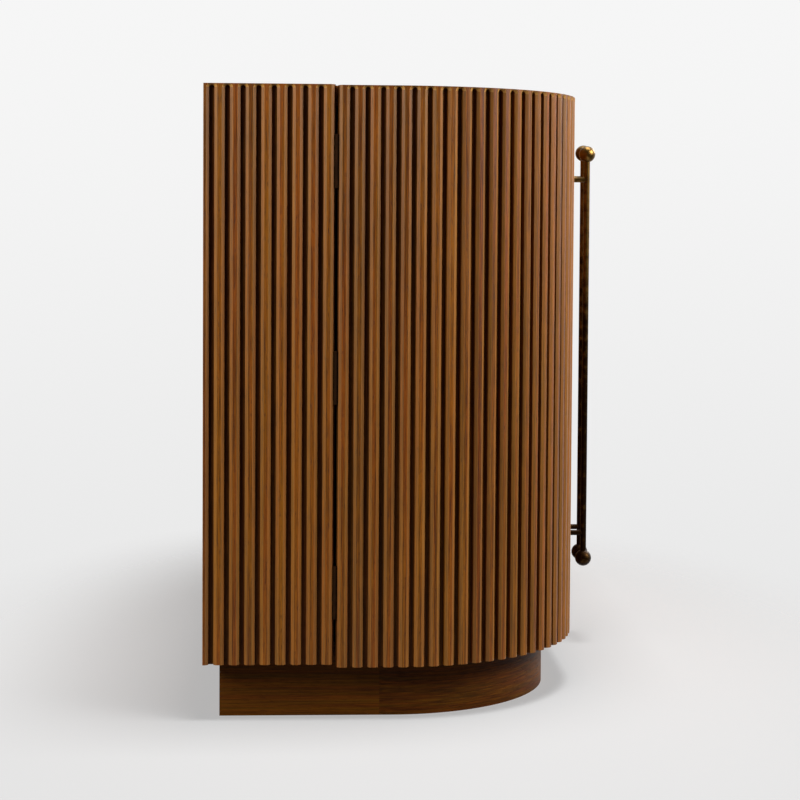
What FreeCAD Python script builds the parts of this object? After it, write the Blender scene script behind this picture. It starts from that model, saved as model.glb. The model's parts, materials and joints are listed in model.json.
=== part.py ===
import FreeCAD, Part
import math
import os

import Sketcher

# Driving sizes of the credenza, in millimetres
SIZES = {
    # Whole cabinet, measured over the slat faces
    "overall_length": 1826.0,
    "overall_height": 762.0,
    "case_depth": 472.0,
    "corner_radius": 240.0,
    # Stretches of the fluted outline
    "end_panel_width": 158.0,
    "back_lipping": 10.0,
    "wing_width": 205.7,
    "stile_width": 37.4,
    # One slat
    "slat_pitch": 18.7,
    "slat_face": 5.4,
    "slat_root": 13.1,
    "slat_depth": 6.5,
    # Boards
    "core_thickness": 18.0,
    "top_thickness": 25.0,
    "bottom_thickness": 22.0,
    "partition_thickness": 22.0,
    "back_thickness": 9.0,
    # Clearances round the doors
    "door_gap": 3.0,
    "case_clearance": 1.5,
    "top_reveal": 0.8,
    "door_drop": 3.5,
    # Plinth
    "plinth_height": 68.0,
    "plinth_thickness": 22.0,
    "plinth_side_setback": 28.0,
    "plinth_front_setback": 38.0,
    "plinth_back_inset": 19.3,
    "plinth_corner_radius": 206.0,
    "plinth_seam_run": 15.0,
    "cross_rail_offset": 430.0,
    # Shelves and their pins
    "shelf_thickness": 20.0,
    "shelf_setback": 30.0,
    "shelf_clearance": 1.0,
    "shelf_row": 2,
    "pin_rows": 5,
    "pin_row_pitch": 32.0,
    "pin_first_level": 246.0,
    "pin_back_inset": 45.0,
    "pin_end_inset": 130.0,
    "pin_partition_inset": 370.0,
    "pin_diameter": 5.0,
    "pin_hole_depth": 10.0,
    "pin_peg_length": 8.0,
    "pin_head_diameter": 8.0,
    "pin_head_length": 8.0,
    # Butt hinges
    "hinge_axis_depth": 3.3,
    "hinge_end_inset": 90.0,
    "knuckle_diameter": 4.4,
    "door_knuckle_length": 26.0,
    "knuckle_end_clearance": 0.2,
    "hinge_pin_diameter": 2.2,
    "hinge_running_clearance": 0.05,
    "leaf_thickness": 1.3,
    "leaf_height": 64.0,
    "leaf_notch_clearance": 0.25,
    "leaf_inset": 1.5,
    # Bar handles
    "handle_standoff": 46.0,
    "handle_level": 412.0,
    "curved_handle_drop": 2.5,
    "bar_diameter": 8.4,
    "ball_diameter": 23.0,
    "ball_spacing": 574.0,
    "post_diameter": 7.4,
    "post_spacing": 502.0,
    "post_seat_depth": 4.5,
    "tenon_diameter": 5.0,
    "tenon_depth": 12.0,
    "fit_clearance": 0.05,
    # Magnetic catches
    "catch_inset": 60.0,
    "catch_width": 40.0,
    "catch_depth": 16.0,
    "catch_height": 13.0,
    "catch_gap": 0.3,
    "strike_thickness": 1.2,
    "strike_width": 34.0,
}

doc = FreeCAD.newDocument("Credenza")
sheet = doc.addObject("Spreadsheet::Sheet", "dim")
for row, (alias, size) in enumerate(SIZES.items(), start=1):
    sheet.set(f"A{row}", alias)
    sheet.set(f"B{row}", str(size))
    sheet.setAlias(f"B{row}", alias)
doc.recompute()

# Plan lines of the left half: X runs along the front, the front faces -Y
BACK = "((dim.case_depth + dim.handle_standoff + dim.ball_diameter / 2) / 2)"
FRONT = f"({BACK} - dim.case_depth)"
LEFT = "(-dim.overall_length / 2)"
DOOR_INNER = "(dim.slat_depth + dim.core_thickness)"
CASE_INNER = f"({DOOR_INNER} + dim.case_clearance)"
CORNER_X = f"({LEFT} + dim.corner_radius)"
CORNER_Y = f"({FRONT} + dim.corner_radius)"
HINGE_Y = f"({BACK} - dim.end_panel_width)"
MEETING_X = f"({CORNER_X} + dim.wing_width)"
STILE_X = "(-dim.stile_width / 2)"
PARTITION_X = "(-dim.partition_thickness / 2)"
HALF_GAP = "dim.door_gap / 2"

# Stretches of slats
END_RUN = "(dim.end_panel_width - dim.back_lipping)"
SIDE_RUN = f"({HINGE_Y} - {CORNER_Y})"
FLAT_RUN = f"({STILE_X} - {MEETING_X})"

# Heights
CASE_BOTTOM = "dim.plinth_height"
CASE_HEIGHT = "(dim.overall_height - dim.plinth_height)"
FLOOR = "(dim.plinth_height + dim.bottom_thickness)"
CEILING = "(dim.overall_height - dim.top_thickness)"
DOOR_BOTTOM = "(dim.plinth_height - dim.door_drop)"
DOOR_HEIGHT = f"(dim.overall_height - dim.top_reveal - {DOOR_BOTTOM})"
PIN_LEVEL = f"({FLOOR} + dim.pin_first_level + dim.shelf_row * dim.pin_row_pitch)"

X_AXIS = FreeCAD.Vector(1, 0, 0)
Y_AXIS = FreeCAD.Vector(0, 1, 0)
Z_AXIS = FreeCAD.Vector(0, 0, 1)
QUARTER_TURN = 90
HALF_TURN = 180


def number(expression):
    return float(sheet.evalExpression(expression))


def slat_count(run):
    return f"max(1; round({run} / dim.slat_pitch))"


def slat_step(run):
    return f"({run} / {slat_count(run)})"


# Helpers for objects and features
def labelled(kind, label):
    thing = doc.addObject(kind, label)
    thing.Label = label
    return thing


def bind(thing, **sizes):
    for name, expression in sizes.items():
        thing.setExpression(name, expression)


def place(thing, x="0", y="0", z="0"):
    for axis, expression in zip("xyz", (x, y, z)):
        thing.setExpression(f"Placement.Base.{axis}", expression)


def origin_feature(body, role):
    return next(part for part in body.Origin.OriginFeatures if part.Role == role)


def new_sketch(body, name, role="XY_Plane", lift="0"):
    sketch = body.newObject("Sketcher::SketchObject", f"{body.Name}_{name}")
    sketch.AttachmentSupport = [(origin_feature(body, role), "")]
    sketch.MapMode = "FlatFace"
    sketch.setExpression("AttachmentOffset.Base.z", lift)
    return sketch


def drive(sketch, expression, kind, *geometry):
    index = sketch.addConstraint(Sketcher.Constraint(kind, *geometry, number(expression)))
    sketch.renameConstraint(index, f"size_{index}")
    sketch.setExpression(f"Constraints.size_{index}", expression)


def draw_polygon(sketch, corners):
    points = [FreeCAD.Vector(number(x), number(y), 0) for x, y in corners]
    following = points[1:] + points[:1]
    first = sketch.GeometryCount
    for start, end in zip(points, following):
        sketch.addGeometry(Part.LineSegment(start, end))
    for index, (x, y) in enumerate(corners):
        line = first + index
        next_line = first + (index + 1) % len(corners)
        sketch.addConstraint(Sketcher.Constraint("Coincident", line, 2, next_line, 1))
        drive(sketch, x, "DistanceX", -1, 1, line, 1)
        drive(sketch, y, "DistanceY", -1, 1, line, 1)


def draw_rectangle(sketch, x_low, y_low, x_high, y_high):
    draw_polygon(sketch, [(x_low, y_low), (x_high, y_low), (x_high, y_high), (x_low, y_high)])


def draw_circle(sketch, x, y, diameter):
    centre = FreeCAD.Vector(number(x), number(y), 0)
    circle = sketch.addGeometry(Part.Circle(centre, Z_AXIS, number(diameter) / 2))
    drive(sketch, diameter, "Diameter", circle)
    drive(sketch, x, "DistanceX", -1, 1, circle, 3)
    drive(sketch, y, "DistanceY", -1, 1, circle, 3)


def draw_curved_strip(sketch, outer, inner, side, front):
    # A board in plan that runs along the end, round a quarter turn and along the front
    arcs = []
    for radius in (outer, inner):
        size = number(radius)
        circle = Part.Circle(FreeCAD.Vector(), Z_AXIS, size)
        arc = sketch.addGeometry(Part.ArcOfCircle(circle, math.pi, 1.5 * math.pi))
        sketch.addConstraint(Sketcher.Constraint("Coincident", arc, 3, -1, 1))
        sketch.addConstraint(Sketcher.Constraint("PointOnObject", arc, 1, -1))
        sketch.addConstraint(Sketcher.Constraint("PointOnObject", arc, 2, -2))
        drive(sketch, radius, "Radius", arc)
        arcs.append((arc, size))
    ends = []
    for arc, size in arcs:
        along_end = sketch.addGeometry(Part.LineSegment(
            FreeCAD.Vector(-size, 0, 0), FreeCAD.Vector(-size, number(side), 0)))
        along_front = sketch.addGeometry(Part.LineSegment(
            FreeCAD.Vector(0, -size, 0), FreeCAD.Vector(number(front), -size, 0)))
        sketch.addConstraint(Sketcher.Constraint("Coincident", arc, 1, along_end, 1))
        sketch.addConstraint(Sketcher.Constraint("Coincident", arc, 2, along_front, 1))
        sketch.addConstraint(Sketcher.Constraint("Vertical", along_end))
        sketch.addConstraint(Sketcher.Constraint("Horizontal", along_front))
        drive(sketch, side, "DistanceY", -1, 1, along_end, 2)
        drive(sketch, front, "DistanceX", -1, 1, along_front, 2)
        ends.append((along_end, along_front))
    for outer_line, inner_line in zip(*ends):
        cap = sketch.addGeometry(Part.LineSegment(
            sketch.Geometry[outer_line].EndPoint, sketch.Geometry[inner_line].EndPoint))
        sketch.addConstraint(Sketcher.Constraint("Coincident", cap, 1, outer_line, 2))
        sketch.addConstraint(Sketcher.Constraint("Coincident", cap, 2, inner_line, 2))


def add_pad(body, sketch, length):
    pad = body.newObject("PartDesign::Pad", f"{sketch.Name}_pad")
    pad.Profile = sketch
    bind(pad, Length=length)
    return pad


def add_pocket(body, sketch, depth):
    pocket = body.newObject("PartDesign::Pocket", f"{sketch.Name}_pocket")
    pocket.Profile = sketch
    bind(pocket, Length=depth)
    return pocket


def repeat_along(body, feature, role, step, count):
    pattern = body.newObject("PartDesign::LinearPattern", f"{feature.Name}_row")
    pattern.Originals = [feature]
    pattern.Direction = (origin_feature(body, role), [""])
    bind(pattern, Length=f"{step} * ({count} - 1)", Occurrences=count)
    body.Tip = pattern


def round_corners(body, pad, corners, radius):
    # The upright edges over the given plan corners
    doc.recompute()
    names = []
    for index, edge in enumerate(pad.Shape.Edges, start=1):
        low, high = (vertex.Point for vertex in edge.Vertexes)
        for x, y in corners:
            corner = FreeCAD.Vector(number(x), number(y), 0)
            spots = [FreeCAD.Vector(point.x, point.y, 0) for point in (low, high)]
            if all(spot.isEqual(corner, 1e-4) for spot in spots):
                names.append(f"Edge{index}")
    fillet = body.newObject("PartDesign::Fillet", f"{body.Name}_corners")
    fillet.Base = (pad, names)
    bind(fillet, Radius=radius)


def board(label, corner, size):
    box = labelled("Part::Box", label)
    place(box, *corner)
    bind(box, Length=size[0], Width=size[1], Height=size[2])
    return box


def rod(label, diameter, length):
    cylinder = labelled("Part::Cylinder", label)
    bind(cylinder, Radius=f"({diameter}) / 2", Height=length)
    return cylinder


def fuse(label, pieces):
    joined = labelled("Part::MultiFuse", label)
    joined.Shapes = pieces
    return joined


def cut(label, base, tool):
    result = labelled("Part::Cut", label)
    result.Base = base
    result.Tool = tool
    return result


def group(label, pieces):
    compound = labelled("Part::Compound", label)
    compound.Links = pieces
    return compound


def copy_of(master, label, rotation, x, y, z):
    link = labelled("App::Link", label)
    link.LinkedObject = master
    link.Placement = FreeCAD.Placement(FreeCAD.Vector(), rotation)
    place(link, x, y, z)
    return link


def mirrored(label, source):
    image = labelled("Part::Mirroring", label)
    image.Source = source
    image.Normal = X_AXIS
    return image


# Case boards
def make_rounded_panel(label, level, thickness):
    body = labelled("PartDesign::Body", label)
    place(body, "0", BACK, level)
    half = f"(dim.overall_length / 2 - {CASE_INNER})"
    front = f"(-dim.case_depth + {CASE_INNER})"
    sketch = new_sketch(body, "outline")
    draw_rectangle(sketch, f"-{half}", front, half, "0")
    pad = add_pad(body, sketch, thickness)
    round_corners(body, pad, [(f"-{half}", front), (half, front)], f"dim.corner_radius - {CASE_INNER}")
    return body


def drill_pin_column(body, name, lift, inset, depth):
    # One hole on the board's inner face, repeated up the board
    sketch = new_sketch(body, name, "YZ_Plane", lift)
    draw_circle(sketch, f"-({inset})", "dim.pin_first_level", "dim.pin_diameter")
    pocket = add_pocket(body, sketch, depth)
    repeat_along(body, pocket, "Z_Axis", "dim.pin_row_pitch", "dim.pin_rows")


def make_end_panel():
    # The fixed board behind the end slats, with two columns of shelf pin holes
    body = labelled("PartDesign::Body", "left_end_panel")
    place(body, LEFT, BACK, FLOOR)
    sketch = new_sketch(body, "outline", lift="-dim.bottom_thickness")
    front = f"-(dim.end_panel_width - {HALF_GAP})"
    draw_rectangle(sketch, "dim.slat_depth", front, CASE_INNER, "0")
    add_pad(body, sketch, CASE_HEIGHT)
    drill_pin_column(body, "back_holes", CASE_INNER, "dim.pin_back_inset", "dim.pin_hole_depth")
    drill_pin_column(body, "front_holes", CASE_INNER, "dim.pin_end_inset", "dim.pin_hole_depth")
    return body


def make_partition():
    # The centre board, drilled right through for the pins of both bays
    body = labelled("PartDesign::Body", "centre_partition")
    place(body, "0", BACK, FLOOR)
    sketch = new_sketch(body, "outline")
    half = "dim.partition_thickness / 2"
    draw_rectangle(sketch, f"-{half}", f"-(dim.case_depth - {CASE_INNER})", half, "0")
    add_pad(body, sketch, f"{CEILING} - {FLOOR}")
    drill_pin_column(body, "back_holes", half, "dim.pin_back_inset", "dim.partition_thickness")
    drill_pin_column(body, "front_holes", half, "dim.pin_partition_inset", "dim.partition_thickness")
    return body


def make_stile():
    width = "(dim.stile_width - dim.door_gap)"
    corner = (f"-{width} / 2", f"{FRONT} + dim.slat_depth", CASE_BOTTOM)
    return board("centre_stile", corner, (width, f"{CASE_INNER} - dim.slat_depth", CASE_HEIGHT))


def make_back_panel():
    left = f"({LEFT} + {CASE_INNER})"
    corner = (left, f"{BACK} - dim.back_thickness", FLOOR)
    return board("left_back_panel", corner,
                 (f"{PARTITION_X} - {left}", "dim.back_thickness", f"{CEILING} - {FLOOR}"))


def make_shelf():
    # A loose shelf whose front corner keeps clear of the curved door
    body = labelled("PartDesign::Body", "left_shelf")
    left = f"({LEFT} + {CASE_INNER} + dim.shelf_clearance)"
    front = f"({FRONT} + {CASE_INNER} + dim.shelf_setback)"
    width = f"({PARTITION_X} - dim.shelf_clearance - {left})"
    depth = f"({BACK} - dim.back_thickness - dim.shelf_clearance - {front})"
    place(body, left, front, f"{PIN_LEVEL} + dim.pin_head_diameter / 2")
    sketch = new_sketch(body, "outline")
    draw_rectangle(sketch, "0", "0", width, depth)
    pad = add_pad(body, sketch, "dim.shelf_thickness")
    round_corners(body, pad, [("0", "0")], f"dim.corner_radius - {CASE_INNER} - dim.shelf_clearance")
    return body


def make_shelf_pins():
    peg = rod("pin_peg", "dim.pin_diameter - 2 * dim.fit_clearance", "dim.pin_peg_length")
    place(peg, z="-dim.pin_peg_length")
    head = rod("pin_head", "dim.pin_head_diameter", "dim.pin_head_length")
    pin = fuse("shelf_pin", [peg, head])
    into_bay = FreeCAD.Rotation(Y_AXIS, QUARTER_TURN)
    back_to_end = FreeCAD.Rotation(Y_AXIS, -QUARTER_TURN)
    end_face = f"{LEFT} + {CASE_INNER}"
    spots = [(into_bay, end_face, "dim.pin_back_inset"), (into_bay, end_face, "dim.pin_end_inset"),
             (back_to_end, PARTITION_X, "dim.pin_back_inset"),
             (back_to_end, PARTITION_X, "dim.pin_partition_inset")]
    pins = []
    for index, (rotation, x, inset) in enumerate(spots, start=1):
        pins.append(copy_of(pin, f"shelf_pin_{index}", rotation, x, f"{BACK} - {inset}", PIN_LEVEL))
    left_pins = group("left_shelf_pins", pins)
    return group("shelf_pins", [left_pins, mirrored("right_shelf_pins", left_pins)])


# Plinth
def make_plinth():
    left = f"({LEFT} + dim.plinth_side_setback)"
    front = f"({FRONT} + dim.plinth_front_setback)"
    back = f"({BACK} - dim.plinth_back_inset)"
    corner_x = f"({left} + dim.plinth_corner_radius)"
    corner_y = f"({front} + dim.plinth_corner_radius)"
    seam_x = f"({corner_x} + dim.plinth_seam_run)"
    seam_y = f"({corner_y} + dim.plinth_seam_run)"
    thick = "dim.plinth_thickness"
    height = "dim.plinth_height"

    side = board("plinth_left_side", (left, seam_y, "0"), (thick, f"{back} - {seam_y}", height))
    corner = labelled("PartDesign::Body", "plinth_left_corner")
    place(corner, corner_x, corner_y)
    sketch = new_sketch(corner, "outline")
    draw_curved_strip(sketch, "dim.plinth_corner_radius", f"dim.plinth_corner_radius - {thick}",
                      "dim.plinth_seam_run", "dim.plinth_seam_run")
    add_pad(corner, sketch, height)
    front_rail = board("plinth_front_rail", (seam_x, front, "0"), (f"-2 * {seam_x}", thick, height))
    inner = f"({left} + {thick})"
    back_rail = board("plinth_back_rail", (inner, f"{back} - {thick}", "0"),
                      (f"-2 * {inner}", thick, height))
    rails = []
    span = f"{back} - {front} - 2 * {thick}"
    middles = {"left": "-dim.cross_rail_offset", "middle": "0", "right": "dim.cross_rail_offset"}
    for name, middle in middles.items():
        spot = (f"{middle} - {thick} / 2", f"{front} + {thick}", "0")
        rails.append(board(f"{name}_cross_rail", spot, (thick, span, height)))
    cross_rails = group("plinth_cross_rails", rails)
    return [side, mirrored("plinth_right_side", side), corner, mirrored("plinth_right_corner", corner),
            front_rail, back_rail, cross_rails]


# Slats
def slat_profile(middle):
    # Trapezoid: along-run position and depth below the slat face
    return [(f"{middle} - dim.slat_face / 2", "0"), (f"{middle} + dim.slat_face / 2", "0"),
            (f"{middle} + dim.slat_root / 2", "dim.slat_depth"),
            (f"{middle} - dim.slat_root / 2", "dim.slat_depth")]


def add_front_slats(body, name, start, run, face, height):
    sketch = new_sketch(body, name)
    outline = slat_profile(f"({start} + {slat_step(run)} / 2)")
    draw_polygon(sketch, [(along, f"{face} + {depth}") for along, depth in outline])
    pad = add_pad(body, sketch, height)
    repeat_along(body, pad, "X_Axis", slat_step(run), slat_count(run))


def add_end_slats(body, name, start, run, face, height):
    sketch = new_sketch(body, name)
    outline = slat_profile(f"({start} + {slat_step(run)} / 2)")
    draw_polygon(sketch, [(f"{face} + {depth}", along) for along, depth in outline])
    pad = add_pad(body, sketch, height)
    repeat_along(body, pad, "Y_Axis", slat_step(run), slat_count(run))


def add_corner_slats(body, name, height):
    # Slats round the quarter turn, each square to its own radius
    arc_length = "(pi / 2 * dim.corner_radius)"
    count = slat_count(arc_length)
    sketch = new_sketch(body, name)
    sketch.AttachmentOffset = FreeCAD.Placement(FreeCAD.Vector(), FreeCAD.Rotation(Z_AXIS, 1))
    sketch.setExpression("AttachmentOffset.Rotation.Angle", f"{QUARTER_TURN} / {count} / 2")
    outline = slat_profile("0")
    draw_polygon(sketch, [(f"-dim.corner_radius + {depth}", along) for along, depth in outline])
    pad = add_pad(body, sketch, height)
    pattern = body.newObject("PartDesign::PolarPattern", f"{pad.Name}_ring")
    pattern.Originals = [pad]
    pattern.Axis = (origin_feature(body, "Z_Axis"), [""])
    bind(pattern, Angle=f"{QUARTER_TURN} * ({count} - 1) / {count}", Occurrences=count)
    body.Tip = pattern


def make_end_panel_slats():
    # Full slats from the door gap backwards, then a narrow lipping at the back edge
    body = labelled("PartDesign::Body", "left_end_slats")
    place(body, LEFT, HINGE_Y, CASE_BOTTOM)
    add_end_slats(body, "slat", "0", END_RUN, "0", CASE_HEIGHT)
    groove_edge = f"({END_RUN} + {slat_step(END_RUN)} / 2 - dim.slat_root / 2)"
    bevel = "(dim.slat_root - dim.slat_face) / 2"
    sketch = new_sketch(body, "lipping")
    draw_polygon(sketch, [("dim.slat_depth", groove_edge), ("0", f"{groove_edge} + {bevel}"),
                          ("0", "dim.end_panel_width"), ("dim.slat_depth", "dim.end_panel_width")])
    add_pad(body, sketch, CASE_HEIGHT)
    return body


def make_stile_slats():
    body = labelled("PartDesign::Body", "centre_stile_slats")
    place(body, STILE_X, FRONT, CASE_BOTTOM)
    add_front_slats(body, "slat", "0", "dim.stile_width", "0", CASE_HEIGHT)
    return body


# Doors
def drill_tenon_holes(body, x, face, level):
    # Blind holes in the outer face for the tenons of the handle posts
    sketch = new_sketch(body, "post_holes", "XZ_Plane", face)
    diameter = "dim.tenon_diameter + 2 * dim.fit_clearance"
    for side in ("-", "+"):
        height = f"{level} - {DOOR_BOTTOM} {side} dim.post_spacing / 2"
        draw_circle(sketch, x, height, diameter)
    add_pocket(body, sketch, "dim.tenon_depth")


def make_curved_door():
    core = labelled("PartDesign::Body", "left_curved_door_core")
    place(core, CORNER_X, CORNER_Y, DOOR_BOTTOM)
    outer = "(dim.corner_radius - dim.slat_depth)"
    sketch = new_sketch(core, "outline")
    draw_curved_strip(sketch, outer, f"(dim.corner_radius - {DOOR_INNER})",
                      f"({SIDE_RUN} - {HALF_GAP})", f"(dim.wing_width - {HALF_GAP})")
    add_pad(core, sketch, DOOR_HEIGHT)
    drill_tenon_holes(core, f"dim.wing_width - {slat_step('dim.wing_width')}", outer, CURVED_HANDLE_LEVEL)

    slats = labelled("PartDesign::Body", "left_curved_door_slats")
    place(slats, CORNER_X, CORNER_Y, DOOR_BOTTOM)
    add_end_slats(slats, "end_slat", "0", SIDE_RUN, "-dim.corner_radius", DOOR_HEIGHT)
    add_corner_slats(slats, "corner_slat", DOOR_HEIGHT)
    add_front_slats(slats, "front_slat", "0", "dim.wing_width", "-dim.corner_radius", DOOR_HEIGHT)
    return [core, slats]


def make_flat_door():
    core = labelled("PartDesign::Body", "left_flat_door_core")
    place(core, MEETING_X, FRONT, DOOR_BOTTOM)
    sketch = new_sketch(core, "outline")
    draw_rectangle(sketch, HALF_GAP, "dim.slat_depth", f"{FLAT_RUN} - {HALF_GAP}", DOOR_INNER)
    add_pad(core, sketch, DOOR_HEIGHT)
    drill_tenon_holes(core, slat_step(FLAT_RUN), "-dim.slat_depth", "dim.handle_level")

    slats = labelled("PartDesign::Body", "left_flat_door_slats")
    place(slats, MEETING_X, FRONT, DOOR_BOTTOM)
    add_front_slats(slats, "slat", "0", FLAT_RUN, "0", DOOR_HEIGHT)
    return [core, slats]


# Handles: each stands in the flute one slat from the meeting edge
CURVED_HANDLE_X = f"({MEETING_X} - {slat_step('dim.wing_width')})"
CURVED_HANDLE_LEVEL = "(dim.handle_level - dim.curved_handle_drop)"
FLAT_HANDLE_X = f"({MEETING_X} + {slat_step(FLAT_RUN)})"


def make_ball_master():
    ball = labelled("Part::Sphere", "ball_blank")
    bind(ball, Radius="dim.ball_diameter / 2")
    bore = rod("ball_bore", "dim.bar_diameter + 2 * dim.fit_clearance", "dim.ball_diameter")
    place(bore, z="-dim.ball_diameter")
    return cut("handle_ball", ball, bore)


def make_post_master():
    # Lies along Z from the bar's axis to the end of the tenon
    seat = "(dim.handle_standoff + dim.post_seat_depth)"
    tip = "(dim.handle_standoff + dim.slat_depth + dim.tenon_depth)"
    shank = rod("post_shank", "dim.post_diameter", seat)
    tenon = rod("post_tenon", "dim.tenon_diameter", f"{tip} - {seat}")
    place(tenon, z=seat)
    saddle = rod("post_saddle", "dim.bar_diameter", "2 * dim.bar_diameter")
    saddle.Placement = FreeCAD.Placement(FreeCAD.Vector(), FreeCAD.Rotation(X_AXIS, QUARTER_TURN))
    place(saddle, y="dim.bar_diameter")
    return cut("handle_post", fuse("post_blank", [shank, tenon]), saddle)


def make_handle(door, x, level, ball, post):
    y = f"{FRONT} - dim.handle_standoff"
    bar = rod(f"{door}_handle_bar", "dim.bar_diameter", "dim.ball_spacing")
    place(bar, x, y, f"{level} - dim.ball_spacing / 2")
    upright = FreeCAD.Rotation()
    upside_down = FreeCAD.Rotation(X_AXIS, HALF_TURN)
    into_door = FreeCAD.Rotation(X_AXIS, -QUARTER_TURN)
    balls = [
        copy_of(ball, f"{door}_top_ball", upright, x, y, f"{level} + dim.ball_spacing / 2"),
        copy_of(ball, f"{door}_bottom_ball", upside_down, x, y, f"{level} - dim.ball_spacing / 2")]
    posts = [
        copy_of(post, f"{door}_top_post", into_door, x, y, f"{level} + dim.post_spacing / 2"),
        copy_of(post, f"{door}_bottom_post", into_door, x, y, f"{level} - dim.post_spacing / 2")]
    return [bar, group(f"{door}_handle_balls", balls), group(f"{door}_handle_posts", posts)]


# Butt hinges: X points along the door, Y into the case, Z up the pin
def make_leaf_master(name, inner_x, knuckles):
    # A leaf on the board's edge with tongues round the pin at the given heights
    notch = "(dim.knuckle_diameter / 2 + dim.leaf_notch_clearance)"
    tail = f"({DOOR_INNER} - dim.leaf_inset - dim.hinge_axis_depth)"
    pieces = [board(f"{name}_plate", (inner_x, notch, "-dim.leaf_height / 2"),
                    ("dim.leaf_thickness", f"{tail} - {notch}", "dim.leaf_height"))]
    for index, (low, length) in enumerate(knuckles, start=1):
        pieces.append(board(f"{name}_tongue_{index}", (inner_x, "0", low),
                            ("dim.leaf_thickness", notch, length)))
        barrel = rod(f"{name}_barrel_{index}", "dim.knuckle_diameter", length)
        place(barrel, z=low)
        pieces.append(barrel)
    bore = rod(f"{name}_bore", "dim.hinge_pin_diameter + 2 * dim.hinge_running_clearance",
               "2 * dim.leaf_height")
    place(bore, z="-dim.leaf_height")
    return cut(name, fuse(f"{name}_blank", pieces), bore)


def make_hinges():
    low_end = "-dim.leaf_height / 2"
    outer_start = "(dim.door_knuckle_length / 2 + dim.knuckle_end_clearance)"
    outer_length = f"(dim.leaf_height / 2 - {outer_start})"
    case_leaf = make_leaf_master("case_leaf", f"-{HALF_GAP}",
                                 [(low_end, outer_length), (outer_start, outer_length)])
    door_leaf = make_leaf_master("door_leaf", f"{HALF_GAP} - dim.leaf_thickness",
                                 [("-dim.door_knuckle_length / 2", "dim.door_knuckle_length")])
    pin = rod("hinge_pin", "dim.hinge_pin_diameter", "dim.leaf_height")
    place(pin, z=low_end)
    pin_master = group("hinge_pin_master", [pin])

    levels = (f"{DOOR_BOTTOM} + dim.hinge_end_inset", f"{DOOR_BOTTOM} + {DOOR_HEIGHT} / 2",
              f"{DOOR_BOTTOM} + {DOOR_HEIGHT} - dim.hinge_end_inset")
    spots = {
        "curved": (FreeCAD.Rotation(Z_AXIS, -QUARTER_TURN), f"{LEFT} + dim.hinge_axis_depth", HINGE_Y),
        "flat": (FreeCAD.Rotation(Y_AXIS, HALF_TURN), STILE_X, f"{FRONT} + dim.hinge_axis_depth"),
    }
    case_leaves = []
    pins = []
    door_leaves = {}
    for door, (rotation, x, y) in spots.items():
        leaves = []
        for index, level in enumerate(levels, start=1):
            case_leaves.append(copy_of(case_leaf, f"{door}_case_leaf_{index}", rotation, x, y, level))
            pins.append(copy_of(pin_master, f"{door}_hinge_pin_{index}", rotation, x, y, level))
            leaves.append(copy_of(door_leaf, f"{door}_door_leaf_{index}", rotation, x, y, level))
        door_leaves[door] = group(f"left_{door}_door_hinge_leaves", leaves)
    left_case_leaves = group("left_hinge_case_leaves", case_leaves)
    left_pins = group("left_hinge_pins", pins)
    all_case_leaves = group("hinge_case_leaves",
                            [left_case_leaves, mirrored("right_hinge_case_leaves", left_case_leaves)])
    all_pins = group("hinge_pins", [left_pins, mirrored("right_hinge_pins", left_pins)])
    return [all_case_leaves, all_pins], door_leaves


# Magnetic catches under the top and the strike plates on the doors
def make_catches():
    inner_face = f"{FRONT} + {DOOR_INNER}"
    level = f"{CEILING} - dim.catch_height"
    catches = []
    strikes = {}
    catch_face = f"{inner_face} + dim.strike_thickness + dim.catch_gap"
    middles = {"curved": f"({MEETING_X} - dim.catch_inset)", "flat": f"({MEETING_X} + dim.catch_inset)"}
    for door, middle in middles.items():
        spot = (f"{middle} - dim.catch_width / 2", catch_face, level)
        catches.append(board(f"left_{door}_door_catch", spot,
                             ("dim.catch_width", "dim.catch_depth", "dim.catch_height")))
        strikes[door] = board(f"left_{door}_door_strike_plate",
                              (f"{middle} - dim.strike_width / 2", inner_face, level),
                              ("dim.strike_width", "dim.strike_thickness", "dim.catch_height"))
    left_catches = group("left_door_catches", catches)
    return group("door_catches", [left_catches, mirrored("right_door_catches", left_catches)]), strikes


# Assembly
def mirror_all(pieces):
    return [mirrored(piece.Label.replace("left_", "right_", 1), piece) for piece in pieces]


left_case = [make_end_panel(), make_end_panel_slats(), make_back_panel(), make_shelf()]
case = [
    make_rounded_panel("top_panel", CEILING, "dim.top_thickness"),
    make_rounded_panel("bottom_panel", CASE_BOTTOM, "dim.bottom_thickness"),
    make_partition(), make_stile(), make_stile_slats(), make_shelf_pins()]
plinth = make_plinth()
hinge_pieces, hinge_leaves = make_hinges()
door_catches, strike_plates = make_catches()
ball = make_ball_master()
post = make_post_master()
curved_door = make_curved_door() + [hinge_leaves["curved"], strike_plates["curved"]]
curved_door += make_handle("left_curved_door", CURVED_HANDLE_X, CURVED_HANDLE_LEVEL, ball, post)
flat_door = make_flat_door() + [hinge_leaves["flat"], strike_plates["flat"]]
flat_door += make_handle("left_flat_door", FLAT_HANDLE_X, "dim.handle_level", ball, post)
left_half = left_case + curved_door + flat_door
sub_parts = case + plinth + hinge_pieces + [door_catches] + left_half + mirror_all(left_half)
doc.recompute()

# Nothing is written unless every feature has worked
for feature in doc.Objects:
    if "Invalid" in feature.State or "Error" in feature.State:
        raise RuntimeError(f"{feature.Label} failed: {feature.State}")
    if feature.TypeId == "PartDesign::Pocket":
        if feature.Shape.Volume >= feature.BaseFeature.Shape.Volume:
            raise RuntimeError(f"{feature.Label} cuts nothing")
for part in sub_parts:
    if part.Shape.isNull() or not part.Shape.isValid() or not part.Shape.Solids:
        raise RuntimeError(f"{part.Label} has no valid solid")

os.makedirs("parts", exist_ok=True)
for part in sub_parts:
    part.Shape.exportStep(f"parts/{part.Label}.step")
    print(part.Label, len(part.Shape.Solids), "solids", round(part.Shape.Volume / 1000), "cm3")
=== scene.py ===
import json
import math

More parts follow.
